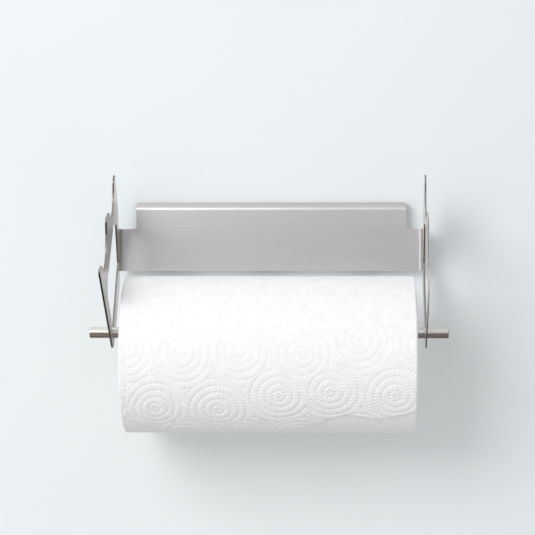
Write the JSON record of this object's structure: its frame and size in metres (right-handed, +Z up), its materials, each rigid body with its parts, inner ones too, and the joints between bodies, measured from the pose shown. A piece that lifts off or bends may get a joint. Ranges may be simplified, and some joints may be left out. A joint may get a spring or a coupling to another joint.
{
  "type": "paper towel holder",
  "caption": "Magnetic wall holder for a kitchen paper roll: folded stainless sheet bracket with horned arms, a loose rod through their openings and a paper roll on the rod.",
  "frame": {"origin": "middle of the centre magnet's rubber face, on the wall plane", "axes": "+X along the rod, to the right as seen from the room; +Y into the wall; +Z up"},
  "size_m": [0.276, 0.1453, 0.1989],
  "materials": {
    "brushed_stainless_sheet": "satin",
    "polished_stainless_bar": "satin",
    "black_rubber": "matte",
    "zinc_plated_steel": "satin",
    "nickel_plated_magnet": "gloss",
    "white_kitchen_paper": "matte",
    "grey_core_board": "matte"
  },
  "bodies": {
    "bracket": {"bracket": "brushed_stainless_sheet", "rubber_jacket_left": "black_rubber", "rubber_jacket_centre": "black_rubber", "rubber_jacket_right": "black_rubber", "magnet_pot_left": "zinc_plated_steel", "magnet_pot_centre": "zinc_plated_steel", "magnet_pot_right": "zinc_plated_steel", "magnet_ring_left": "nickel_plated_magnet", "magnet_ring_centre": "nickel_plated_magnet", "magnet_ring_right": "nickel_plated_magnet", "weld_stud_left": "zinc_plated_steel", "weld_stud_centre": "zinc_plated_steel", "weld_stud_right": "zinc_plated_steel"},
    "rod": {"rod": "polished_stainless_bar"},
    "roll": {"paper_roll": "white_kitchen_paper", "core_tube": "grey_core_board"}
  },
  "joints": [
    {"name": "rod_slide", "type": "slide", "parent": "bracket", "child": "rod", "axis": [1, 0, 0], "range_m": [-0.262, 0.262]},
    {"name": "roll_turn", "type": "hinge", "parent": "bracket", "child": "roll", "pos_m": [0.001, -0.066, -0.08805], "axis": [1, 0, 0], "continuous": true}
  ]
}
